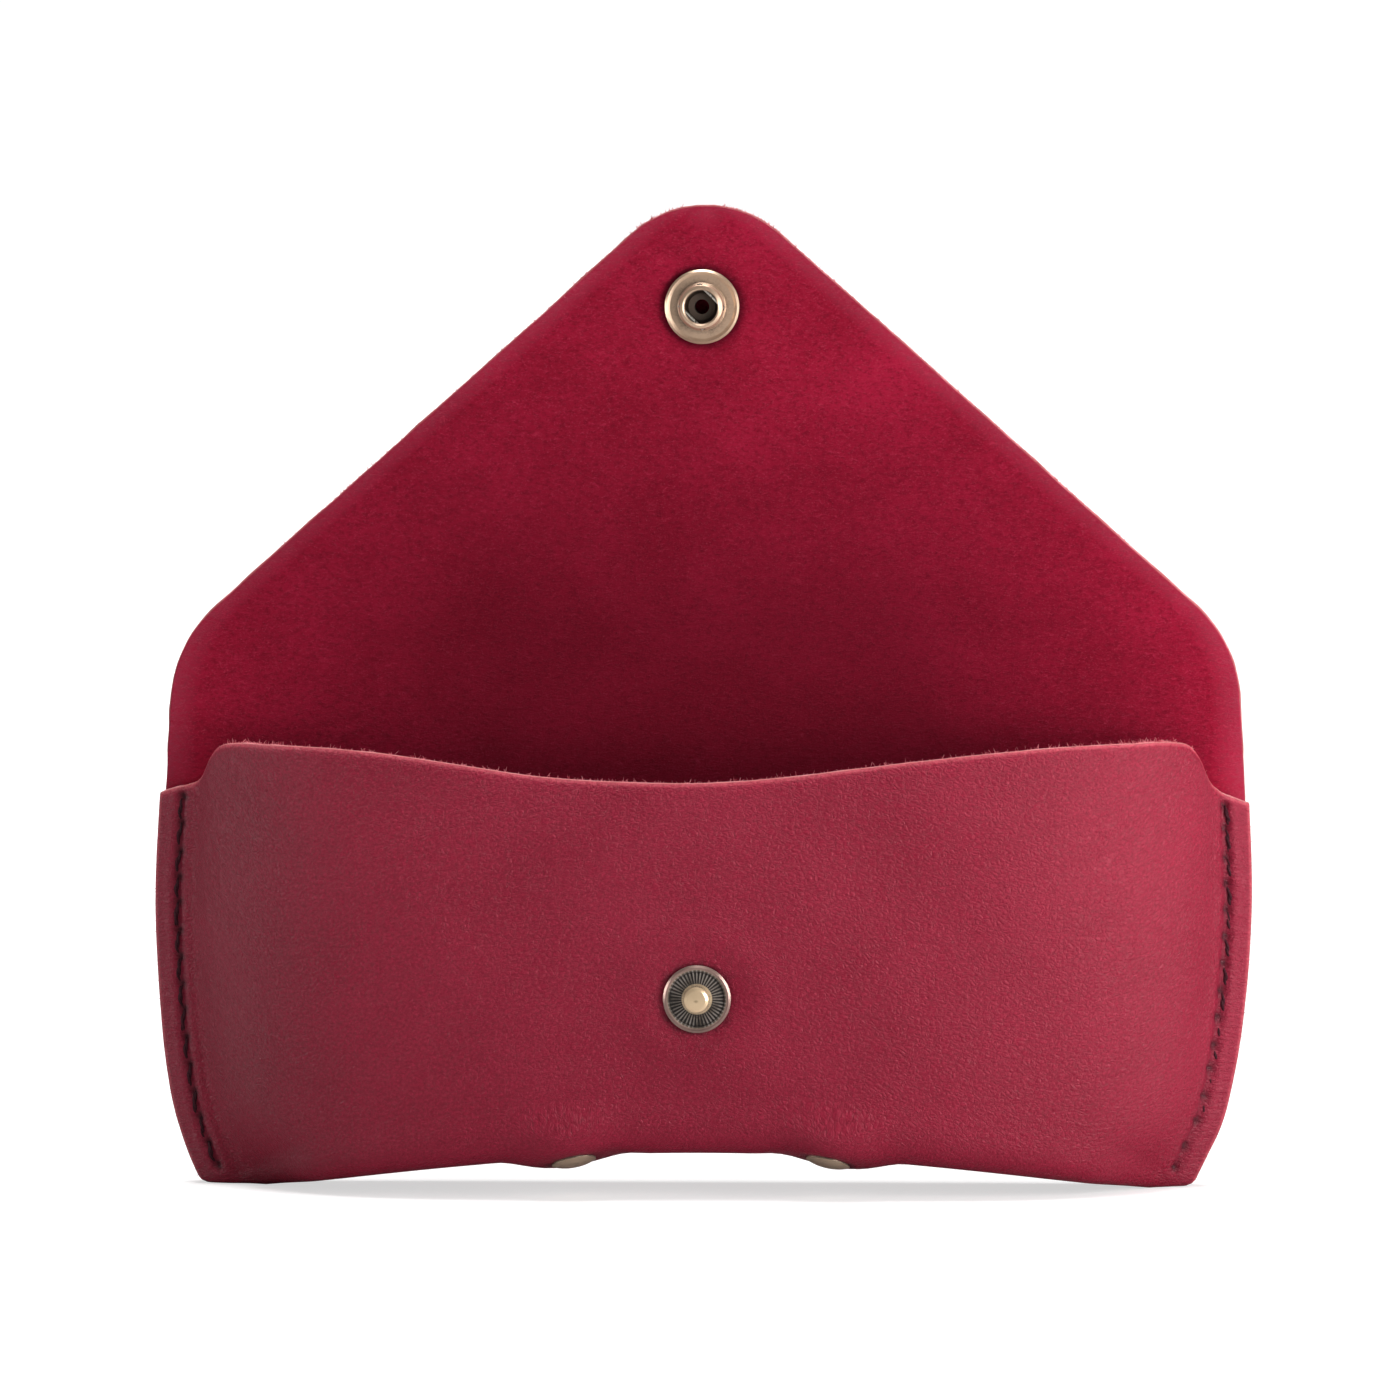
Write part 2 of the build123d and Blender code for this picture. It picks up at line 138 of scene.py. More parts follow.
# ---- the cut outline ----
SIDE = [  # height, half-width
    (0.0, 80.5), (5.0, 82.8), (10.7, 85.0), (18.0, 86.6), (27.0, 87.8), (46.0, 88.9), (64.0, 88.2),
    (80.0, 87.2)]
LEAN = [  # height, distance to the left: the pouch stands a little askew
    (0.0, 2.05), (5.0, 1.90), (9.0, 1.60), (16.0, 1.40), (32.0, 0.95), (55.0, 0.62), (79.0, 0.28),
    (108.0, 0.0), (125.0, -0.38), (160.0, -0.55)]
MOUTH_LEFT = [  # distance from the middle, height
    (12.0, 67.6), (25.0, 68.4), (37.0, 70.1), (49.0, 71.8), (60.0, 72.8), (70.0, 73.0), (77.0, 72.9),
    (79.6, 72.1), (81.0, 70.2), (82.2, 67.2), (83.6, 65.9), (86.5, 65.0), (89.4, 63.8)]
MOUTH_RIGHT = [
    (0.0, 67.4), (14.0, 68.3), (25.0, 69.6), (37.0, 71.0), (49.0, 72.2), (60.0, 73.0), (70.0, 73.2),
    (77.0, 73.0), (79.4, 72.2), (80.9, 70.0), (82.0, 66.8), (83.2, 64.8), (86.0, 63.2), (89.2, 62.0)]
MOUTH_Z = 69.0  # where the width of the mouth is taken
SIDE_TOP, SIDE_X = SIDE[-1]
SHOULDER_R = 22.0
SLANT = 0.888
APEX_Z = 165.8
TIP_Z = 159.7
STRETCH = math.hypot(1, SLANT)
SHOULDER_Z = APEX_Z - SLANT * (SIDE_X - SHOULDER_R) - STRETCH * SHOULDER_R
TIP_R = (APEX_Z - TIP_Z) / (STRETCH - 1)
TIP_START = TIP_Z - TIP_R + TIP_R / STRETCH


def through(points):
    """A smooth curve through (position, value) points, as a function of an array of positions."""
    at, value = (np.array(column, float) for column in zip(*points))
    secant = np.diff(value) / np.diff(at)
    slope = np.concatenate([[secant[0]], (secant[1:] + secant[:-1]) / 2, [secant[-1]]])

    def curve(position):
        position = np.clip(np.asarray(position, float), at[0], at[-1])
        i = np.clip(np.searchsorted(at, position) - 1, 0, len(at) - 2)
        span = at[i + 1] - at[i]
        t = (position - at[i]) / span
        return (value[i] * (2 * t**3 - 3 * t**2 + 1) + value[i + 1] * (3 * t**2 - 2 * t**3)
                + slope[i] * span * (t**3 - 2 * t**2 + t) + slope[i + 1] * span * (t**3 - t**2))

    return curve


side_curve = through(SIDE)
lean = through(LEAN)
mouth_curve = through([(-x, z) for x, z in reversed(MOUTH_LEFT)] + MOUTH_RIGHT)


def smoothstep(t):
    t = np.clip(t, 0, 1)
    return t * t * (3 - 2 * t)


def bell(distance, width):
    return np.exp(-((distance / width) ** 2))


def half_width(z):
    """Half-width of the cut hide at height z."""
    z = np.asarray(z, float)
    shoulder = SIDE_X - SHOULDER_R
    shoulder += np.sqrt(np.maximum(SHOULDER_R**2 - np.maximum(z - SHOULDER_Z, 0) ** 2, 0))
    tip = np.sqrt(np.maximum(TIP_R**2 - (z - TIP_Z + TIP_R) ** 2, 0))
    width = np.where(z < SHOULDER_Z, side_curve(z), shoulder)
    width = np.where(z > SHOULDER_Z + SHOULDER_R / STRETCH, (APEX_Z - z) / SLANT, width)
    return np.where(z > TIP_START, tip, width)


def pocket_x(z):
    return half_width(z) - SEAM_WIDTH


# How far the leather has risen from the seam at a distance in from it: a quick S-turn, then a flat front.
RISE_AT = np.arange(-8, RISE_REACH + 8, RISE_STEP)
RISE = 1 - np.abs(1 - np.clip(RISE_AT, 0, RISE_REACH) / RISE_REACH) ** SQUARENESS
KERNEL = bell(np.arange(-BLUR_STEPS, BLUR_STEPS + 1) * RISE_STEP, RISE_BLUR)
RISE = np.convolve(np.pad(RISE, BLUR_STEPS, mode="edge"), KERNEL / KERNEL.sum(), mode="valid")


def rise(inward):
    return np.interp(np.clip(inward, -7, RISE_REACH), RISE_AT, RISE)


def front_depth(z):
    up, down = np.maximum(z - BELLY_Z, 0) / BELLY_TO_MOUTH, np.maximum(BELLY_Z - z, 0) / BELLY_Z
    return FRONT_BELLY - FRONT_MOUTH_IN * up**2 - FRONT_BASE_IN * down**2


def corner_taper(x, z):
    """The front draws in towards the fold at both low corners, where the hide is still flat."""
    reach = 0.5 + 27 * smoothstep((np.abs(x) - 50) / 36)
    return 1 - (1 - np.clip((z + 1.5) / reach, 0, 1)) ** 2.4


def back_depth(z):
    away = np.clip((z - BELLY_Z) / BACK_REACH, -1, 1)
    return FOLD_DEPTH + BACK_BELLY * (1 - away**2) ** 2


def swept(x, z):
    """How far the side seams bend back between the pocket's side and the raw edge, and the bend's slope."""
    past = np.clip((np.abs(x + lean(z)) - pocket_x(z)) / SEAM_WIDTH, 0, 1.4)
    fade = SWEEP * smoothstep((78 - z) / 16)
    return fade * past**1.5, 1.5 * fade * past**0.5 / SEAM_WIDTH


# Places of the columns across the hide: 0 is the middle, SEAM_AT the pocket's side and 1 the raw edge.
PLAIN_TO = 0.78
SEAM_AT = 0.945
COLUMNS = np.concatenate([
    np.linspace(0, PLAIN_TO, 40, endpoint=False),
    np.linspace(PLAIN_TO, SEAM_AT, 30, endpoint=False),
    np.linspace(SEAM_AT, 1, 15),
])
COLUMNS = np.concatenate([-COLUMNS[:0:-1], COLUMNS])


def across(z):
    """Place of each column from left to right at height z. The pouch stands a little askew."""
    share = np.abs(COLUMNS)
    inside = share / SEAM_AT * pocket_x(z)
    seam = pocket_x(z) + (share - SEAM_AT) / (1 - SEAM_AT) * SEAM_WIDTH
    return np.sign(COLUMNS) * np.where(share < SEAM_AT, inside, seam) - lean(z)


def waves(x, z):
    """Slow unevenness that soft leather keeps, in and out of its surface."""
    return (0.20 * np.sin(x / 9.1 + z / 13.0 + 0.4) + 0.16 * np.sin(x / 14.7 - z / 8.3 + 2.0)
            + 0.10 * np.sin(x / 5.3 + 1.1) * np.sin(z / 6.1))


def flap_lean(x, z):
    """Small lasting waves that keep the standing flap from looking like a flat plate."""
    high = smoothstep((z - 84) / 50)
    edge = smoothstep((np.abs(x) / np.maximum(half_width(z), 1) - 0.35) / 0.65)
    edge *= smoothstep((half_width(z) - 6) / 34)
    return high * edge * (0.45 * np.sin(z / 14 + 2 * np.sign(x)) + 0.3 * np.sin(x / 12 + 0.8))


def hide_grid():
    """Grain-side points of the whole hide by row: from the mouth down, under, and up to the flap's tip."""
    low_x = across(BASE_Z)
    arch = BASE_LIFT * np.clip(1 - (low_x / ARCH_HALF) ** 2, 0, 1) ** 1.05
    bottom = arch + PINCH_LIFT / (1 + (low_x / PINCH_HALF) ** 6)
    turn = OUTSIDE + BASE_TURN * rise(pocket_x(BASE_Z) - np.abs(low_x)) ** 1.2
    start = bottom + turn
    top = mouth_curve(across(MOUTH_Z))
    rows = []
    for share in np.concatenate([[0, 0.004, 0.010], np.linspace(0.018, 1, 92, endpoint=False)]):
        z = top + (start - top) * share
        x = across(z)
        inward = pocket_x(z) - np.abs(x)
        soft = waves(x, z) * smoothstep(inward / 12) * smoothstep((top - z) / 14)
        depth = front_depth(z) * rise(inward) * corner_taper(x, z)
        rows.append(np.stack([x, -OUTSIDE - depth + soft, z], axis=1))
    x = across(start)
    lift = rise(pocket_x(start) - np.abs(x))
    low_wave = waves(x, start) * smoothstep((pocket_x(start) - np.abs(x)) / 12)
    front = -OUTSIDE - front_depth(start) * lift * corner_taper(x, start)
    back = OUTSIDE + back_depth(start) * lift
    power = 2 / BASE_SQUARE
    for angle in np.linspace(0, math.pi, 52, endpoint=False):
        c, s = math.cos(angle), math.sin(angle)
        y = (front + back) / 2 + (front - back) / 2 * math.copysign(abs(c) ** power, c)
        z = bottom + turn * (1 - s**power)
        rows.append(np.stack([across(z), y + low_wave * max(c, 0) ** 2, z], axis=1))
    for share in np.linspace(0, 1, 74):
        z = start + (SPLIT_Z - start) * share
        x = across(z)
        depth = back_depth(z) * rise(pocket_x(z) - np.abs(x))
        rows.append(np.stack([x, OUTSIDE + depth, z], axis=1))
    split = len(rows) - 1
    share = (across(SPLIT_Z) + lean(SPLIT_Z)) / half_width(SPLIT_Z)
    heights = np.linspace(SPLIT_Z, TIP_START, 76, endpoint=False)[1:]
    angles = np.linspace(math.asin(1 / STRETCH), math.radians(87.5), 20)
    for z in np.concatenate([heights, TIP_Z - TIP_R + TIP_R * np.sin(angles)]):
        x = share * half_width(z) - lean(z)
        depth = FOLD_DEPTH * rise(pocket_x(min(z, SIDE_TOP)) - np.abs(x))
        rows.append(np.stack([x, OUTSIDE + depth + flap_lean(x, z), np.full(len(x), z)], axis=1))
    grid = np.array(rows)
    back, slope = swept(grid[..., 0], grid[..., 2])
    grid[..., 0] -= np.sign(grid[..., 0]) * grid[..., 1] * slope / np.hypot(1, slope)
    grid[..., 1] += back
    return grid, split


def stitch_holes(side, top):
    """Awl holes down one seam, as (x, z) from the top."""
    z = np.linspace(STITCH_FOOT, top, 900)
    x = side * side_curve(z) - lean(z)
    dx, dz = np.gradient(x), np.gradient(z)
    size = np.hypot(dx, dz)
    line = np.stack([x - side * STITCH_INSET * dz / size, z + side * STITCH_INSET * dx / size], axis=1)[::-1]
    run = np.concatenate([[0], np.cumsum(np.hypot(*np.diff(line, axis=0).T))])
    count = round(run[-1] / STITCH_PITCH)
    at = np.linspace(0, run[-1], count + 1) + RNG.normal(0, 0.16, count + 1)
    return np.stack([np.interp(at, run, line[:, 0]), np.interp(at, run, line[:, 1])], axis=1)


HOLES = {side: stitch_holes(side, top) for side, top in STITCH_TOP.items()}


def near_line(x, z):
    """Distance of points from the stitch line, and from the nearest awl hole."""
    flat = np.stack([x.ravel(), z.ravel()], axis=1)
    line, hole = np.full(len(flat), np.inf), np.full(len(flat), np.inf)
    for holes in HOLES.values():
        for a, b in zip(holes, holes[1:]):
            along = np.clip(((flat - a) @ (b - a)) / ((b - a) @ (b - a)), 0, 1)
            line = np.minimum(line, np.linalg.norm(flat - a - along[:, None] * (b - a), axis=1))
        hole = np.minimum(hole, np.min(np.linalg.norm(flat[:, None] - holes[None], axis=2), axis=1))
    return line.reshape(x.shape), hole.reshape(x.shape)


def unit(v):
    return v / np.maximum(np.linalg.norm(v, axis=-1, keepdims=True), 1e-9)


def normals_of(grid):
    return unit(np.cross(np.gradient(grid, axis=0), np.gradient(grid, axis=1)))


def rivet_axis(side):
    return np.array([-side * math.sin(RIVET_ROLL) * math.cos(RIVET_TILT), -math.sin(RIVET_TILT),
                     -math.cos(RIVET_ROLL) * math.cos(RIVET_TILT)])


def rivet_seat(side):
    """Middle of the leather under a rivet's outer cap."""
    x, y, z = RIVET_SEAT
    return np.array([side * x, y, z])


def pressed(grid, normal):
    """The grain side as fasteners and stitches mark it, and how deep in a mark each point is, 0 to 1, for
    painted shade.
    """
    x, y, z = (grid[..., i] for i in range(3))
    line, hole = near_line(x, z)
    flange = (np.abs(y) < OUTSIDE + 1.5) * (z < 66)
    groove, pull = bell(line, GROOVE) * flange, bell(hole, GROOVE) * flange
    step = -0.42 * groove - 0.45 * pull + 0.22 * bell(line - 1.5, 0.7) * flange
    deep = np.clip(0.35 * groove + 0.95 * pull, 0, 1)
    front, behind = y < -10, (y > 0) * (z > 100)
    stud, cap = np.hypot(x, z - STUD_Z), np.hypot(x, z - SNAP_Z)
    step += 0.30 * bell(stud - 9.5, 2.9) * front + 0.15 * bell(cap - 9.5, 2.5) * behind
    deep = np.maximum(deep, 0.75 * bell(np.maximum(stud - STUD_R, 0), 0.45) * front)
    deep = np.maximum(deep, 0.75 * bell(np.maximum(cap - CAP_R, 0), 0.45) * behind)
    moved = grid + normal * step[..., None]
    under = smoothstep(1 - np.maximum(stud - STUD_R, 0) / 6) * front
    moved[..., 1] += (STUD_SEAT + 0.35 * smoothstep((STUD_R - stud) / 1.2) - moved[..., 1]) * under
    for side in (-1, 1):
        axis = rivet_axis(side)
        offset = moved - rivet_seat(side)
        height = offset @ axis
        radial = np.linalg.norm(offset - height[..., None] * axis, axis=-1)
        low = (np.abs(height) < 7) * (z < 20)
        near = smoothstep(1 - np.maximum(radial - RIVET_R - 0.2, 0) / 8.5) * low
        moved -= axis * (height * near)[..., None]
        deep = np.maximum(deep, 0.85 * bell(np.maximum(radial - RIVET_R, 0), 0.5) * low)
    return moved, deep


def flesh_side(grid, normal):
    """The suede side, pressed in a little round the snap's socket, with painted shade in its bore and a dark
    band round it.
    """
    x, z = grid[..., 0], grid[..., 2]
    ring = np.hypot(x, z - SNAP_Z)
    swell = 0.14 * bell(ring - 8.6, 1.8) - 0.18 * bell(np.maximum(ring - SOCKET_R, 0), 0.7)
    swell -= 1.8 * smoothstep((4.2 - ring) / 1.6)
    # Painted shade inside the bore, and darker in a narrow band round the socket's rim.
    bore_shade_and_dark_ring = np.maximum(bell(np.maximum(ring - SOCKET_R, 0), 0.9), ring < 4.2) * (z > 100)
    return grid - normal * (THICK + swell * (z > 100))[..., None], 0.7 * bore_shade_and_dark_ring


GRID, SPLIT_ROW = hide_grid()
NORMAL = normals_of(GRID)
if NORMAL[10, len(COLUMNS) // 2, 1] > 0:
    NORMAL = -NORMAL
FLESH, FLESH_DEEP = flesh_side(GRID, NORMAL)
GRAIN, DEEP = pressed(GRID, NORMAL)

# Coordinates on the flat hide, in millimetres, so that grain and nap follow the leather round its bends.
ALONG = np.cumsum(np.linalg.norm(np.diff(GRID, axis=0, prepend=GRID[:1]), axis=2), axis=0)
ALONG = ALONG[SPLIT_ROW] - ALONG
ACROSS = np.cumsum(np.linalg.norm(np.diff(GRID, axis=1, prepend=GRID[:, :1]), axis=2), axis=1)
ACROSS = ACROSS - ACROSS[:, len(COLUMNS) // 2][:, None]
FLAT_X, FLAT_Z = ACROSS.copy(), ALONG.copy()
FLAT_X[SPLIT_ROW:] = GRID[SPLIT_ROW:, :, 0] + ACROSS[SPLIT_ROW] - GRID[SPLIT_ROW, :, 0]
FLAT_Z[SPLIT_ROW:] = SPLIT_Z - GRID[SPLIT_ROW:, :, 2]
TO_SIDE = np.minimum(ACROSS - ACROSS[:, :1], ACROSS[:, -1:] - ACROSS)
SIDE_RUN = np.cumsum(np.linalg.norm(np.diff(GRID[:, -1], axis=0, prepend=GRID[:1, -1]), axis=1))
TO_MOUTH = np.broadcast_to(ALONG[0] - ALONG, ALONG.shape)
TO_TIP = ALONG - ALONG[-1]
FLANGE = smoothstep((6.2 - TO_SIDE) / 3.2) * smoothstep((68 - GRID[..., 2]) / 3)


class Hide:
    """A closed piece of hide over some rows of the grid: grain side, flesh side and raw edge."""

    def __init__(self, first, last):
        self.rows = slice(first, last + 1)
        grain, flesh = GRAIN[self.rows].copy(), FLESH[self.rows]
        self.shape = grain.shape[:2]
        edge = TO_SIDE[self.rows].copy()
        if first == 0:
            edge = np.minimum(edge, TO_MOUTH[self.rows])
        else:
            edge = np.minimum(edge, TO_TIP[self.rows] + 0.4)
        self.edge = edge
        grain -= NORMAL[self.rows] * (0.28 * bell(edge, 0.55))[..., None]
        self.points, self.marks, self.faces, self.slots = [], [], [], []
        self.count = 0
        flat = np.stack([FLAT_X[self.rows], FLAT_Z[self.rows], np.zeros(self.shape)], axis=-1)
        self.grain = self.layer(grain, flat, DEEP[self.rows], edge, 0.0)
        self.flesh = self.layer(flesh, flat + [0, 0, THICK], FLESH_DEEP[self.rows], edge, 0.0)
        self.quads(self.grain, 0, False)
        self.quads(self.flesh, 1, True)
        self.close(first == 0)

    def layer(self, points, flat, deep, edge, worn):
        """Adds a whole side of the hide, or a line of points of its raw edge, with what the paints read."""
        index = self.count + np.arange(points[..., 0].size).reshape(points.shape[:-1])
        self.points.append(points.reshape(-1, 3))
        run, flange = np.zeros(index.shape), np.zeros(index.shape)
        if points.ndim == 3:
            run = np.broadcast_to(SIDE_RUN[self.rows][:, None], self.shape)
            flange = FLANGE[self.rows]
        marks = (deep, edge, worn, run, flange)
        marks = [np.broadcast_to(mark, index.shape).reshape(-1, 1) for mark in marks]
        self.marks.append(np.concatenate([flat.reshape(-1, 3), *marks], axis=1))
        self.count += index.size
        return index

    def quads(self, index, slot, flip):
        a, b, c, d = index[:-1, :-1], index[:-1, 1:], index[1:, 1:], index[1:, :-1]
        faces = np.stack([a, d, c, b] if flip else [a, b, c, d], axis=-1).reshape(-1, 4)
        self.faces += faces.tolist()
        self.slots += [slot] * len(faces)

    def close(self, pouch):
        """The raw edge round three sides, and a flat cut where the other piece of the hide carries on."""
        rows, columns = self.shape
        end = 0 if pouch else rows - 1
        up = range(rows - 1, -1, -1) if pouch else range(rows)
        path = [(i, 0) for i in up]
        path += [(end, j) for j in range(1, columns - 1)]
        path += [(i, columns - 1) for i in reversed(up)]
        i, j = np.array(path).T
        rim = GRID[self.rows][i, j]
        self.outward = unit(np.cross(np.gradient(rim, axis=0), NORMAL[self.rows][i, j]))
        if np.sum(self.outward * (rim - rim.mean(axis=0))) < 0:
            self.outward = -self.outward
        points = np.concatenate(self.points)
        self.top, self.under = top, under = points[self.grain[i, j]], points[self.flesh[i, j]]
        run = np.cumsum(np.linalg.norm(np.diff(under, axis=0, prepend=under[:1]), axis=1))
        worn = np.where(i == 0, MOUTH_WEAR, POUCH_WEAR) if pouch else np.full(len(i), FLAP_WEAR)
        rough = np.convolve(RNG.normal(0, 1, len(i)), [0.3, 0.5, 0.3], mode="same")
        if not pouch:
            rough[i == end] = 0
        strip = [self.grain[i, j]]
        for share in (0.1, 0.3, 0.5, 0.7, 0.9):
            bulge = EDGE_BULGE * math.sqrt(1 - (2 * share - 1) ** 2) + EDGE_ROUGHNESS * share * rough
            points = top * (1 - share) + under * share + self.outward * bulge[:, None]
            flat = np.stack([run, np.full(len(run), share * THICK + EDGE_PLACE), np.zeros(len(run))], axis=-1)
            strip.append(self.layer(points, flat, 0, 0, worn))
        strip.append(self.flesh[i, j])
        self.quads(np.array(strip), 2, True)
        cut = rows - 1 if pouch else 0
        self.cap(np.array([row[[0, -1]] for row in strip]), cut)

    def cap(self, ends, cut):
        """Closes the cut between the grain and flesh sides."""
        left, right = ends[:, 0], ends[:, 1]
        grain, flesh = self.grain[cut], self.flesh[cut]
        loop = [*grain, *right[1:-1], *flesh[::-1], *left[1:-1][::-1]]
        self.sharp = {frozenset(pair) for pair in zip(loop, loop[1:] + loop[:1])}
        self.quads(np.array([grain, flesh]), 1, False)
        for side in (left, right):
            for a, b in zip(side[1:-2], side[2:-1]):
                self.faces.append([int(side[0]), int(a), int(b)])
                self.slots.append(1)
            self.faces.append([int(side[0]), int(side[-2]), int(side[-1])])
            self.slots.append(1)

    def build(self, name, materials):
        points = (np.concatenate(self.points) + [0, SEAM_Y, 0]) * MM
        mesh = bpy.data.meshes.new(name)
        mesh.from_pydata(points.tolist(), [], self.faces)
        for material in materials:
            mesh.materials.append(material)
        mesh.polygons.foreach_set("material_index", self.slots)
        marks = np.concatenate(self.marks).astype(np.float32)
        hide = mesh.attributes.new("hide", "FLOAT_VECTOR", "POINT")
        hide.data.foreach_set("vector", marks[:, :3].ravel())
        for i, mark in enumerate(("deep", "edge", "worn", "run", "flange")):
            attribute = mesh.attributes.new(mark, "FLOAT", "POINT")
            attribute.data.foreach_set("value", marks[:, 3 + i])
        shape = bmesh.new()
        shape.from_mesh(mesh)
        bmesh.ops.recalc_face_normals(shape, faces=shape.faces)
        for edge in shape.edges:
            edge.smooth = frozenset(v.index for v in edge.verts) not in self.sharp
        for face in shape.faces:
            face.smooth = True
        shape.to_mesh(mesh)
        shape.free()
        piece = bpy.data.objects.new(name, mesh)
        bpy.context.scene.collection.objects.link(piece)
        return piece


def mesh_piece(name, points, faces, material):
    mesh = bpy.data.meshes.new(name)
    mesh.from_pydata(((np.asarray(points) + [0, SEAM_Y, 0]) * MM).tolist(), [], faces)
    mesh.materials.append(material)
    mesh.polygons.foreach_set("use_smooth", [True] * len(mesh.polygons))
    mesh.update()
    piece = bpy.data.objects.new(name, mesh)
    bpy.context.scene.collection.objects.link(piece)
    return piece


def tube(points, faces, line, radii, sides):
    """Adds a closed tube along a line of points to lists of points and faces."""
    line = np.asarray(line, float)
    tangent = unit(np.gradient(line, axis=0))
    reference = np.array([0.3, 1.0, 0.1])
    aside = unit(np.cross(tangent, reference))
    other = np.cross(aside, tangent)
    first = len(points)
    for centre, a, b, radius in zip(line, aside, other, radii):
        for k in range(sides):
            angle = 2 * math.pi * k / sides
            points.append(centre + (a * math.cos(angle) + b * math.sin(angle)) * radius)
    for ring in range(len(line) - 1):
        for k in range(sides):
            a, b = first + ring * sides + k, first + ring * sides + (k + 1) % sides
            faces.append([a, b, b + sides, a + sides])
    last = first + (len(line) - 1) * sides
    faces.append([first + k for k in reversed(range(sides))])
    faces.append([last + k for k in range(sides)])


def fibres(hide, count, keep, size):
    """Loose fibres standing out of a raw edge, where keep says so."""
    points, faces = [], []
    chosen = np.flatnonzero(keep(hide.under))
    for _ in range(count):
        i = RNG.choice(chosen[:-1])
        t, depth = RNG.random(), RNG.random() ** 1.5
        base = hide.under[i] * (1 - t) + hide.under[i + 1] * t
        base = base * (1 - depth * 0.8) + hide.top[i] * depth * 0.8 + hide.outward[i] * 0.12
        outward = unit(hide.outward[i] + RNG.normal(0, 0.6, 3))
        curl = RNG.normal(0, 0.4, 3) * size
        length = size * (0.3 + 1.1 * RNG.random() ** 2.5)
        along = np.linspace(0, 1, 4)[:, None]
        line = base + outward * length * along + curl * along**2 * length
        thick = FIBRE_R * (1 + RNG.random())
        tube(points, faces, line, thick * np.array([1.0, 0.9, 0.7, 0.3]), 3)
    return points, faces


def stitches(side, face):
    """Thread down one seam on one face of the pouch: two twisted plies from hole to hole, a little askew."""
    points, faces = [], []
    for a, b in zip(HOLES[side], HOLES[side][1:]):
        along = unit(b - a)
        skew = np.array([-along[1], along[0]]) * (0.20 * side + RNG.normal(0, 0.10))
        start, end = a - skew + along * 0.12, b + skew - along * 0.12
        t = np.linspace(0, 1, 15)
        arch = np.sin(math.pi * t) ** 0.55
        height = OUTSIDE - THREAD_SINK + (1.0 + RNG.normal(0, 0.07)) * arch
        x = start[0] + (end[0] - start[0]) * t
        z = start[1] + (end[1] - start[1]) * t
        back, slope = swept(x, z)
        line = np.stack([x - side * face * height * slope, face * height + back, z], axis=1)
        tangent = unit(np.gradient(line, axis=0))
        wide = unit(np.cross(tangent, [0, 1, 0]))
        deep = np.cross(wide, tangent)
        turn = 2 * math.pi * PLY_TURNS * t + RNG.random() * 6
        for ply in (0, math.pi):
            swing = wide * np.cos(turn + ply)[:, None] + deep * np.sin(turn + ply)[:, None]
            tube(points, faces, line + swing * PLY_SWING, THREAD_R * (0.7 + 0.3 * arch), 8)
    return points, faces


# ---------------------------------------------------------------- materials
class Paint:
    """A node material in the making."""

    def __init__(self, name):
        self.material = bpy.data.materials.new(name)
        self.material.use_nodes = True
        self.tree = self.material.node_tree
        self.shader = self.tree.nodes["Principled BSDF"]

    def feed(self, socket, value):
        if isinstance(value, bpy.types.Node):
            value = value.outputs[0]
        if isinstance(value, bpy.types.NodeSocket):
            self.tree.links.new(value, socket)
        else:
            socket.default_value = value

    def add(self, kind, inputs=(), **settings):
        node = self.tree.nodes.new("ShaderNode" + kind)
        for key, value in settings.items():
            setattr(node, key, value)
        for key, value in dict(inputs).items():
            self.feed(node.inputs[key], value)
        return node

    def math(self, operation, a, b=0.0, clamp=False):
        return self.add("Math", {0: a, 1: b}, operation=operation, use_clamp=clamp)

    def mark(self, name):
        node = self.add("Attribute", attribute_name=name)
        return node.outputs["Vector"] if name == "hide" else node.outputs["Fac"]

    def place(self, vector, scale):
        return self.add("Mapping", {"Vector": vector, "Scale": scale})

    def noise(self, vector, scale, detail=4.0, rough=0.55, distortion=0.0):
        return self.add("TexNoise", {"Vector": vector, "Scale": scale, "Detail": detail, "Roughness": rough,
                                     "Distortion": distortion})

    def cells(self, vector, scale):
        node = self.add("TexVoronoi", {"Vector": vector, "Scale": scale}, feature="DISTANCE_TO_EDGE")
        return node.outputs["Distance"]

    def span(self, value, low, high, new_low=0.0, new_high=1.0):
        return self.add("MapRange", {"Value": value, "From Min": low, "From Max": high, "To Min": new_low,
                                     "To Max": new_high})

    def mix(self, share, a, b, blend="MIX"):
        node = self.add("Mix", data_type="RGBA", blend_type=blend)
        self.feed(node.inputs[0], share)
        for i, value in ((6, a), (7, b)):
            self.feed(node.inputs[i], (*value, 1) if isinstance(value, tuple) else value)
        return node.outputs[2]

    def warp(self, vector, scale, amount):
        random = self.noise(vector, scale, 2.0).outputs["Color"]
        shift = self.add("VectorMath", {0: random, 1: (0.5, 0.5, 0.5)}, operation="SUBTRACT")
        shift = self.add("VectorMath", {0: shift, "Scale": amount}, operation="SCALE")
        return self.add("VectorMath", {0: vector, 1: shift}, operation="ADD")

    def finish(self, colour, roughness, height=None, depth=0.1, strength=1.0, **sockets):
        self.feed(self.shader.inputs["Base Color"], colour)
        self.feed(self.shader.inputs["Roughness"], roughness)
        for name, value in sockets.items():
            self.shader.inputs[name.replace("_", " ")].default_value = value
        if height is not None:
            bump = self.add("Bump", {"Height": height, "Distance": depth * MM, "Strength": strength})
            self.feed(self.shader.inputs["Normal"], bump)
        return self.material


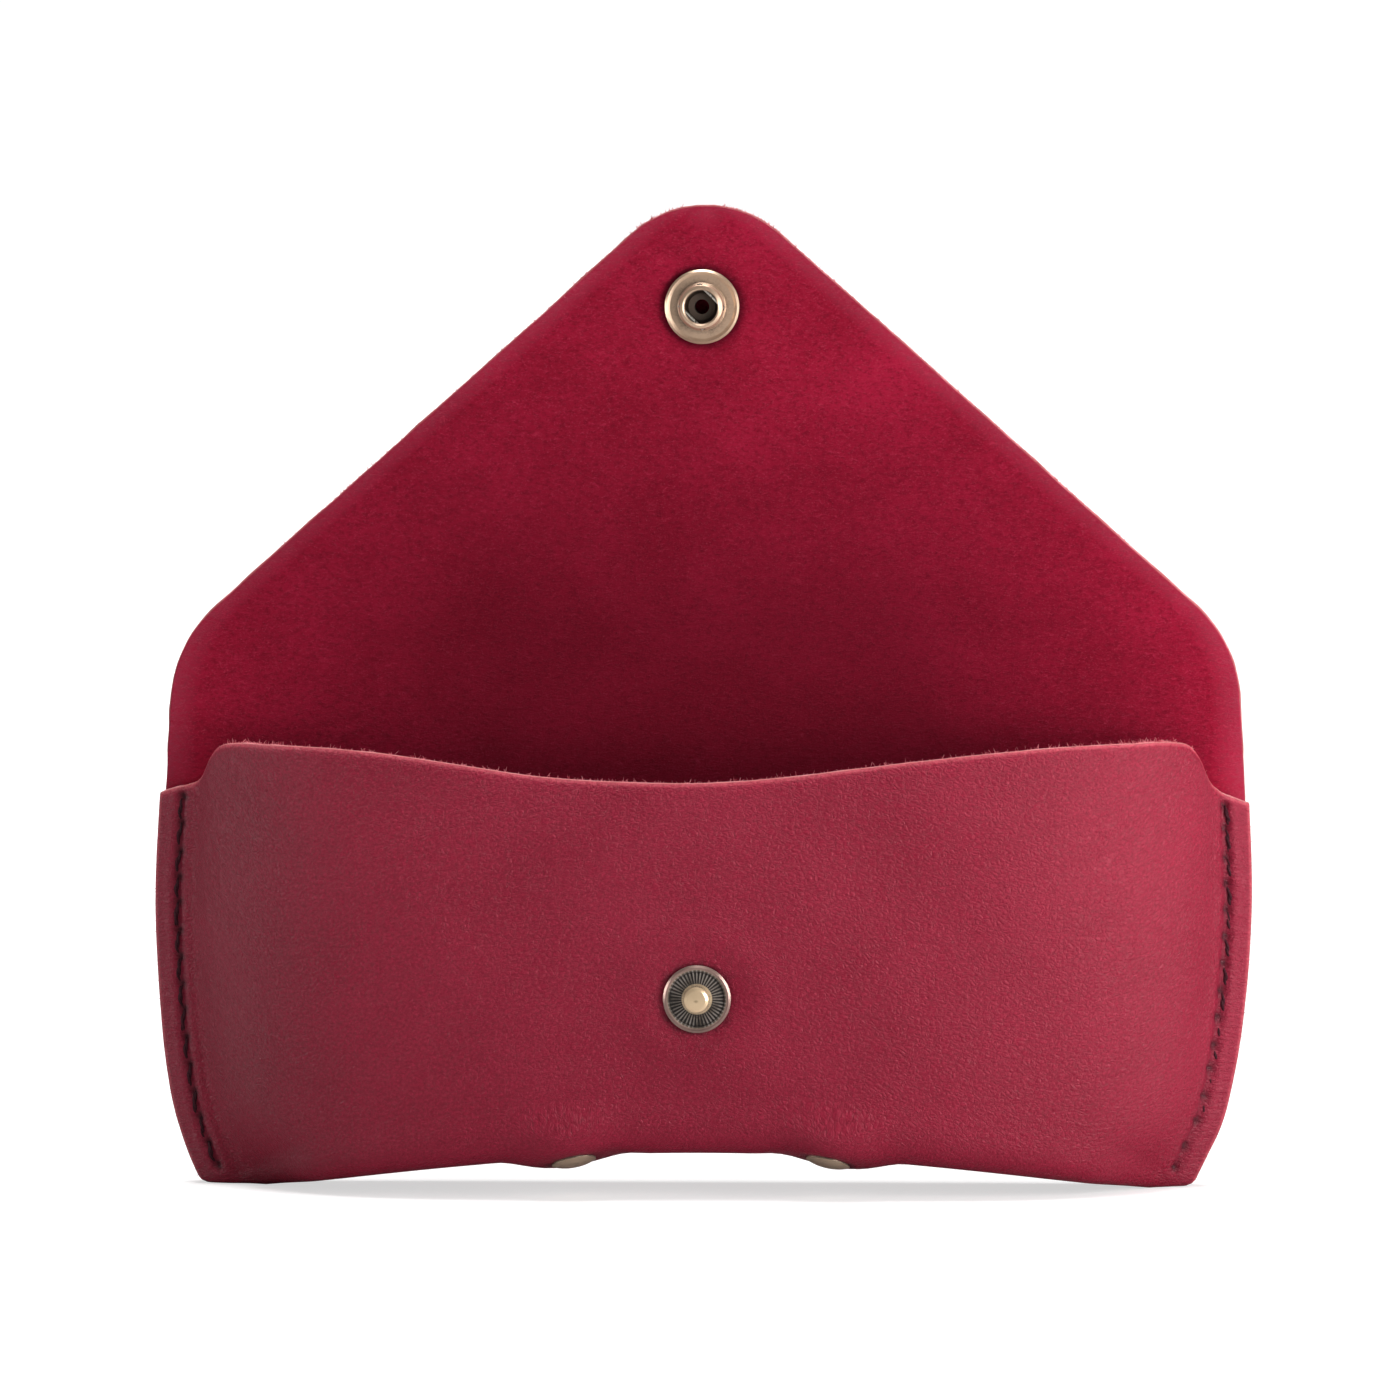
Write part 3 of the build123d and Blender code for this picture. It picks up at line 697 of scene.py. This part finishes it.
def grain_leather():
    """Full-grain hide: small soft pebbles, fine cross wrinkles, satin, darker in creases, painted shade in
    stitch holes.
    """
    p = Paint("grain_leather")
    hide, deep, edge, run, flange = (p.mark(name) for name in ("hide", "deep", "edge", "run", "flange"))
    warped = p.warp(hide, 0.5, 1.3)
    pebble = p.span(p.cells(p.place(warped, (0.85, 1.2, 1)), 1.25), 0.0, 0.30)
    small = p.span(p.cells(p.place(warped, (1.0, 1.15, 1)), 2.9), 0.0, 0.28)
    wrinkle = p.noise(p.place(p.warp(hide, 0.16, 4.0), (0.5, 1.5, 1)), 0.9, 6.0, 0.68)
    slow = p.noise(hide, 0.05, 3.0)
    speck = p.noise(hide, 1.9, 4.0, 0.75)
    along_seam = p.add("CombineXYZ", {0: p.math("MULTIPLY", run, 1.7), 1: p.math("MULTIPLY", edge, 0.25)})
    rays = p.noise(along_seam, 1.0, 3.0, 0.6)
    height = p.math("ADD", p.math("MULTIPLY", pebble, 0.45), p.math("MULTIPLY", small, 0.22))
    height = p.math("ADD", height, p.math("MULTIPLY", wrinkle, 1.1))
    height = p.math("ADD", height, p.math("MULTIPLY", p.math("MULTIPLY", rays, 2.2), flange))
    colour = p.mix(p.span(slow, 0.3, 0.7), (0.226, 0.0060, 0.0250), (0.272, 0.0090, 0.0330))
    colour = p.mix(p.span(wrinkle, 0.50, 0.72, 0.0, 0.30), colour, (0.150, 0.0050, 0.0170))
    colour = p.mix(p.span(speck, 0.50, 0.68, 0.0, 0.66), colour, (0.370, 0.0200, 0.0550))
    colour = p.mix(p.span(speck, 0.48, 0.30, 0.0, 0.80), colour, (0.150, 0.0040, 0.0150))
    colour = p.mix(p.span(pebble, 0.35, 0.0, 0.0, 0.30), colour, (0.130, 0.0040, 0.0140))
    colour = p.mix(p.math("MULTIPLY", flange, 0.45), colour, (0.250, 0.0160, 0.0390))
    wear_and_sheen = p.math("MULTIPLY", p.span(edge, 0.6, 0.1), p.span(speck, 0.35, 0.6, 0.25, 0.85))
    colour = p.mix(wear_and_sheen, colour, (0.560, 0.0900, 0.1200))
    # Painted shade in stitch holes, along the stitch groove and round the rims of the stud, cap and rivets.
    colour = p.mix(p.math("MULTIPLY", deep, 0.88), colour, (0.030, 0.0030, 0.0070))
    rough = p.span(p.math("ADD", slow, p.math("MULTIPLY", wrinkle, 0.4)), 0.4, 0.95, 0.34, 0.47)
    return p.finish(colour, rough, height, 0.23, 0.7, Specular_IOR_Level=0.16, Sheen_Weight=0.02,
                    Sheen_Roughness=0.45, Sheen_Tint=(1.0, 0.62, 0.70, 1))


def suede():
    """Flesh side: short nap across the hide, lighter fibres, painted sheen at the edges, painted shade low in
    the middle.
    """
    p = Paint("suede")
    hide, deep, edge = (p.mark(name) for name in ("hide", "deep", "edge"))
    warped = p.warp(hide, 0.35, 1.6)
    nap = p.noise(p.place(warped, (0.9, 1.7, 1)), 1.2, 6.0, 0.75, 0.3)
    fine = p.noise(p.place(hide, (1.6, 2.4, 1)), 1.7, 4.0, 0.8)
    marks = p.noise(p.place(p.warp(hide, 0.03, 22.0), (0.8, 1.2, 1)), 0.045, 5.0, 0.6)
    strand = p.noise(p.place(p.warp(hide, 0.6, 2.2), (0.6, 2.8, 1)), 0.9, 4.0, 0.65)
    colour = p.mix(p.span(marks, 0.32, 0.68), (0.275, 0.0055, 0.0245), (0.400, 0.0098, 0.0420))
    colour = p.mix(p.span(nap, 0.46, 0.64, 0.0, 0.55), colour, (0.110, 0.0025, 0.0110))
    colour = p.mix(p.span(strand, 0.57, 0.70, 0.0, 0.58), colour, (0.500, 0.0260, 0.0700))
    colour = p.mix(p.span(fine, 0.55, 0.75, 0.0, 0.72), colour, (0.560, 0.0600, 0.1100))
    # Painted sheen: lighter in a band a few millimetres wide along the raw edges.
    wear_and_sheen = p.math("MULTIPLY", p.span(edge, 4.6, 0.0), p.span(nap, 0.35, 0.60, 0.25, 1.0))
    colour = p.mix(p.math("MULTIPLY", wear_and_sheen, 0.48), colour, (0.520, 0.0700, 0.1250))
    # Painted shade: darker towards the mouth and towards the middle, and so over the middle of the pouch's
    # inside.
    spot = p.add("SeparateXYZ", {0: hide})
    low = p.span(spot.outputs[1], -52, -8)
    centre = p.span(p.math("ABSOLUTE", spot.outputs[0]), 92, 34)
    painted_shade_low_middle = p.math("MULTIPLY", p.math("MULTIPLY", low, centre), 0.62)
    colour = p.mix(painted_shade_low_middle, colour, (0.060, 0.0012, 0.0055))
    # Painted shade in the socket's bore, and the dark band round the socket.
    colour = p.mix(deep, colour, (0.040, 0.0020, 0.0070))
    height = p.math("ADD", nap, p.math("ADD", p.math("MULTIPLY", fine, 0.5), p.math("MULTIPLY", strand, 0.5)))
    return p.finish(colour, 0.93, height, 0.30, 0.9, Specular_IOR_Level=0.05, Sheen_Weight=0.12,
                    Sheen_Roughness=0.35, Sheen_Tint=(1.0, 0.25, 0.35, 1))


def stay_leather():
    """Plain reinforcing leather inside the base."""
    p = Paint("stay_leather")
    place = p.add("TexCoord").outputs["Object"]
    nap = p.noise(place, 900.0, 5.0, 0.7)
    colour = p.mix(p.span(nap, 0.35, 0.65), (0.120, 0.0030, 0.0120), (0.280, 0.0090, 0.0320))
    return p.finish(colour, 0.92, nap, 0.15, 0.8, Specular_IOR_Level=0.05)


def raw_edge():
    """Cut edge: packed fibres, pale where it is rubbed."""
    p = Paint("raw_edge")
    hide, worn = p.mark("hide"), p.mark("worn")
    fibre = p.noise(p.place(p.warp(hide, 0.6, 1.2), (1.6, 4.0, 1)), 0.9, 5.0, 0.7)
    patch = p.noise(hide, 0.35, 4.0)
    pale = p.math("MULTIPLY", worn, p.span(p.math("ADD", fibre, patch), 0.75, 1.15), True)
    colour = p.mix(p.span(fibre, 0.35, 0.65), (0.300, 0.0120, 0.0240), (0.620, 0.0520, 0.0560))
    colour = p.mix(pale, colour, (0.860, 0.3200, 0.3500))
    return p.finish(colour, 0.95, fibre, 0.35, 0.9, Specular_IOR_Level=0.1, Sheen_Weight=0.3)


def loose_fibre():
    """Pale ends of fibres that stand out of a raw edge."""
    p = Paint("loose_fibre")
    shade = p.noise(p.add("TexCoord").outputs["Object"], 900.0, 2.0)
    colour = p.mix(p.span(shade, 0.35, 0.65), (0.46, 0.040, 0.065), (0.86, 0.280, 0.320))
    return p.finish(colour, p.span(shade, 0.3, 0.7, 0.75, 0.95), Specular_IOR_Level=0.2)


def waxed_thread():
    """Dark waxed linen: fine ply lines, duller where the wax has rubbed off."""
    p = Paint("waxed_thread")
    place = p.add("TexCoord").outputs["Object"]
    fine, slow = p.noise(place, 5200.0, 3.0), p.noise(place, 700.0, 2.0)
    colour = p.mix(p.span(fine, 0.35, 0.68), (0.016, 0.0022, 0.0050), (0.062, 0.0080, 0.0160))
    return p.finish(colour, p.span(slow, 0.3, 0.7, 0.60, 0.85), fine, 0.06, 0.8, Specular_IOR_Level=0.12)


RIB_HIGHLIGHT = (0.21, 0.19, 0.18)


def antique_brass(name, bright, dark, wear_and_sheen, recess=None):
    """Plated metal with a dark antique finish left in its recesses and rubbed off what stands proud.

    A recess is the height of its middle, its inner and outer radius, and the colour of the rim outside it.
    Between
    its radii it is darker: antique finish in a recess with a rim, painted shade in a hole without one. A
    recess with a rim is fluted, with painted highlights on its ribs.
    """
    p = Paint(name)
    place = p.add("TexCoord").outputs["Object"]
    open_sky = p.add("AmbientOcclusion", {"Distance": 1.3 * MM}, samples=8).outputs["AO"]
    slow, fine = p.noise(place, 420.0, 5.0, 0.6), p.noise(place, 3600.0, 3.0, 0.7)
    shown = p.math("ADD", open_sky, p.span(slow, 0.3, 0.7, -wear_and_sheen, wear_and_sheen * 0.6))
    shown = p.span(p.math("ADD", shown, p.span(fine, 0.3, 0.7, -0.08, 0.08)), 0.42, 0.88)
    rim = None
    if recess:
        height, low, high, rim_colour = recess
        spot = p.add("VectorMath", {0: place, 1: (0, 0, height * MM)}, operation="SUBTRACT")
        spot = p.add("VectorMath", {0: spot, 1: (1, 0, 1)}, operation="MULTIPLY")
        radius = p.add("VectorMath", {0: spot}, operation="LENGTH").outputs["Value"]
        inside = p.math("MULTIPLY", p.span(radius, (low - 0.15) * MM, (low + 0.15) * MM),
                        p.span(radius, (high + 0.2) * MM, (high - 0.2) * MM))
        # Darker between the radii: antique finish in a recess with a rim, painted shade in the socket's hole.
        shown = p.math("MULTIPLY", shown, p.span(inside, 0, 1, 1.0, 0.07))
        if rim_colour:
            # Painted highlights: lighter grey on the ribs of the flutes.
            parts = p.add("SeparateXYZ", {0: spot}).outputs
            turn = p.math("MULTIPLY", p.math("ARCTAN2", parts["Z"], parts["X"]), FLUTES)
            rib_highlight = p.math("MULTIPLY", p.span(p.math("COSINE", turn), -0.1, 0.8), p.span(slow, 0.36, 0.56))
            dark = p.mix(rib_highlight, dark, RIB_HIGHLIGHT)
            rim = p.span(radius, (high - 0.2) * MM, high * MM)
    colour = p.mix(shown, dark, bright)
    if rim:
        rubbed_rim = tuple(1.35 * c for c in rim_colour)
        colour = p.mix(rim, colour, p.mix(p.span(slow, 0.35, 0.65), rim_colour, rubbed_rim))
    rough = p.span(shown, 0.0, 1.0, 0.62, 0.30)
    return p.finish(colour, rough, fine, 0.02, 0.5, Metallic=0.6)


def spring_steel():
    """Drawn wire, with fine light and dark streaks."""
    p = Paint("spring_steel")
    place = p.add("TexCoord").outputs["Object"]
    drawn = p.noise(place, 2400.0, 3.0)
    colour = p.mix(p.span(drawn, 0.35, 0.65), (0.30, 0.27, 0.23), (0.66, 0.62, 0.55))
    return p.finish(colour, p.span(drawn, 0.3, 0.7, 0.22, 0.40), Metallic=1.0)


# ---------------------------------------------------------------- pieces
GRAIN_MATERIAL, SUEDE_MATERIAL, EDGE_MATERIAL = grain_leather(), suede(), raw_edge()
FIBRE_MATERIAL, THREAD_MATERIAL = loose_fibre(), waxed_thread()
LEATHER = [GRAIN_MATERIAL, SUEDE_MATERIAL, EDGE_MATERIAL]

pouch_hide, flap_hide = Hide(0, SPLIT_ROW), Hide(SPLIT_ROW, len(GRID) - 1)
pouch = pouch_hide.build("pouch_leather", LEATHER)
flap = flap_hide.build("flap_leather", LEATHER)

for side, name in ((-1, "left"), (1, "right")):
    points, faces = stitches(side, -1)
    more, more_faces = stitches(side, 1)
    faces += [[index + len(points) for index in face] for face in more_faces]
    thread = mesh_piece("seam_thread_" + name, points + more, faces, THREAD_MATERIAL)
    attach(thread, "pouch")
    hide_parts("stitching_" + name)


def sides_fray(points):
    return points[:, 2] < 60


def mouth_frays(points):
    return points[:, 1] < -1.5


def flap_frays(points):
    """Above the front fold, except at the very tip, where the rim is finely divided."""
    return (points[:, 2] > FRONT_FOLD[2] + 6) * (abs(points[:, 0]) > 2.2)


for name, body, edge, count, keep, size in (
    ("pouch_edge_fibres", "pouch", pouch_hide, 900, sides_fray, 0.5),
    ("mouth_edge_fibres", "pouch", pouch_hide, 1500, mouth_frays, 0.62),
    ("flap_edge_fibres", "flap_front", flap_hide, 1200, flap_frays, 0.5),
):
    fuzz = mesh_piece(name, *fibres(edge, count, keep, size), FIBRE_MATERIAL)
    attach(fuzz, body)

PALE_BRASS, OLD_BROWN = (0.53, 0.37, 0.26), (0.040, 0.026, 0.020)
BRASS = antique_brass("antique_brass", PALE_BRASS, OLD_BROWN, 0.18)
# The socket's dark middle is painted shade in its hole and on the post seen through it.
SOCKET_BRASS = antique_brass("socket_antique_brass", PALE_BRASS, OLD_BROWN, 0.18, (SNAP_Z, -1.0, 2.75, None))
STUD_BRASS = antique_brass("stud_antique_brass", (0.66, 0.49, 0.31), (0.030, 0.025, 0.024), 0.14,
                           (STUD_Z, 2.45, 4.85, (0.20, 0.128, 0.108)))
RIVET_BRASS = antique_brass("rivet_antique_brass", (0.62, 0.46, 0.33), (0.060, 0.040, 0.030), 0.24)
for material, nodes in (
    (STUD_BRASS, ("snap_stud",)),
    (BRASS, ("snap_stud_eyelet", "snap_cap_shell")),
    (SOCKET_BRASS, ("snap_cap_post", "snap_socket")),
    (spring_steel(), ("snap_spring",)),
    (RIVET_BRASS, ("rivet_left_cap", "rivet_left_post", "rivet_right_cap", "rivet_right_post")),
    (stay_leather(), ("base_stay",)),
):
    for name in nodes:
        node = frame["nodes"][name]
        node.data.materials.clear()
        node.data.materials.append(material)

for piece, nodes in ((pouch, ("leather_front", "leather_base", "leather_back")),
                     (flap, ("leather_flap_bridge", "leather_flap_front"))):
    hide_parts(*nodes)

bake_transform(pouch)
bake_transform(flap)


# ---------------------------------------------------------------- floor, light and camera
ROOM_LIGHT = 0.06
ROOM_GLOSS = 0.08
BACKDROP = 1.05
FLOOR_GLOW = 0.6
FLOOR_R = 9
FLOOR_SIDES = 96


def floor():
    """White table, which also glows a little for the camera alone, so that it joins the backdrop."""
    p = Paint("floor_white")
    shade = p.noise(p.add("TexCoord").outputs["Object"], 3.0, 3.0)
    p.finish(p.mix(shade, (0.54, 0.54, 0.54), (0.57, 0.57, 0.57)), 0.9, Specular_IOR_Level=0.0)
    p.shader.inputs["Emission Color"].default_value = (1, 1, 1, 1)
    seen = p.add("LightPath").outputs["Is Camera Ray"]
    p.feed(p.shader.inputs["Emission Strength"], p.span(seen, 0, 1, 0, FLOOR_GLOW))
    angle = np.linspace(0, 2 * math.pi, FLOOR_SIDES, endpoint=False)
    rim = [(FLOOR_R * math.cos(a), FLOOR_R * math.sin(a), 0) for a in angle]
    mesh = bpy.data.meshes.new("floor")
    mesh.from_pydata(rim, [], [list(range(FLOOR_SIDES))])
    mesh.materials.append(p.material)
    piece = bpy.data.objects.new("floor", mesh)
    bpy.context.scene.collection.objects.link(piece)


def lamp(name, kind, place, target, energy, size=(0.5, 0.5), colour=(1, 1, 1), angle=1.0, gloss_only=False):
    """A sun or a rectangular lamp, which may be left out of all but reflections."""
    data = bpy.data.lights.new(name, kind)
    data.energy, data.color = energy, colour
    if kind == "AREA":
        data.shape, data.size, data.size_y = "RECTANGLE", *size
    else:
        data.angle = angle
    light = bpy.data.objects.new(name, data)
    light.visible_diffuse = not gloss_only
    light.location = place
    light.rotation_euler = (Vector(target) - Vector(place)).to_track_quat("-Z", "Y").to_euler()
    bpy.context.scene.collection.objects.link(light)


def world():
    """White for the camera, and a dim room for the light that falls on the object."""
    studio = bpy.data.worlds.new("studio")
    studio.use_nodes = True
    tree = studio.node_tree
    sky, ray = tree.nodes["Background"], tree.nodes.new("ShaderNodeLightPath")
    sky.inputs["Color"].default_value = (1, 1, 1, 1)
    strength = ROOM_LIGHT
    for output, level in (("Is Camera Ray", BACKDROP), ("Is Glossy Ray", ROOM_GLOSS)):
        step = tree.nodes.new("ShaderNodeMath")
        step.operation = "MULTIPLY_ADD"
        tree.links.new(ray.outputs[output], step.inputs[0])
        step.inputs[1].default_value = level - ROOM_LIGHT
        if isinstance(strength, float):
            step.inputs[2].default_value = strength
        else:
            tree.links.new(strength, step.inputs[2])
        strength = step.outputs[0]
    tree.links.new(strength, sky.inputs["Strength"])
    bpy.context.scene.world = studio


def camera():
    """A long lens from a little above the table and a little to the right."""
    azimuth, elevation, roll = math.radians(4.0), math.radians(4.5), math.radians(-0.36)
    distance = 1.2
    aim = Vector((-0.7, SEAM_Y, 79.5)) * MM
    flat = math.cos(elevation)
    away = Vector((math.sin(azimuth) * flat, -math.cos(azimuth) * flat, math.sin(elevation)))
    data = bpy.data.cameras.new("camera")
    data.lens, data.sensor_width = 189.5, 36
    eye = bpy.data.objects.new("camera", data)
    eye.location = aim + away * distance
    level = (-away).to_track_quat("-Z", "Y")
    eye.rotation_euler = (level @ Quaternion((0, 0, 1), roll)).to_euler()
    bpy.context.scene.collection.objects.link(eye)
    bpy.context.scene.camera = eye


floor()
world()
camera()
lamp("overhead", "SUN", (0, 0, 2), (0, 0, 0), 4.2, angle=math.radians(36))
lamp("key", "AREA", (0.31, -0.19, 0.09), (0.05, 0, 0.06), 1.7, (0.16, 0.34), (1.0, 0.98, 0.97))
lamp("left_strip", "AREA", (-0.40, -0.13, 0.16), (-0.07, 0, 0.05), 0.10, (0.06, 0.4))
lamp("right_sheen", "AREA", (0.28, -0.24, 0.10), (0.06, -0.01, 0.06), 1.35, (0.24, 0.34), gloss_only=True)
lamp("left_sheen", "AREA", (-0.36, -0.08, 0.10), (-0.07, 0, 0.06), 0.72, (0.07, 0.18), gloss_only=True)
bpy.context.scene.view_settings.view_transform = "Standard"
bpy.context.scene.view_settings.look = "None"
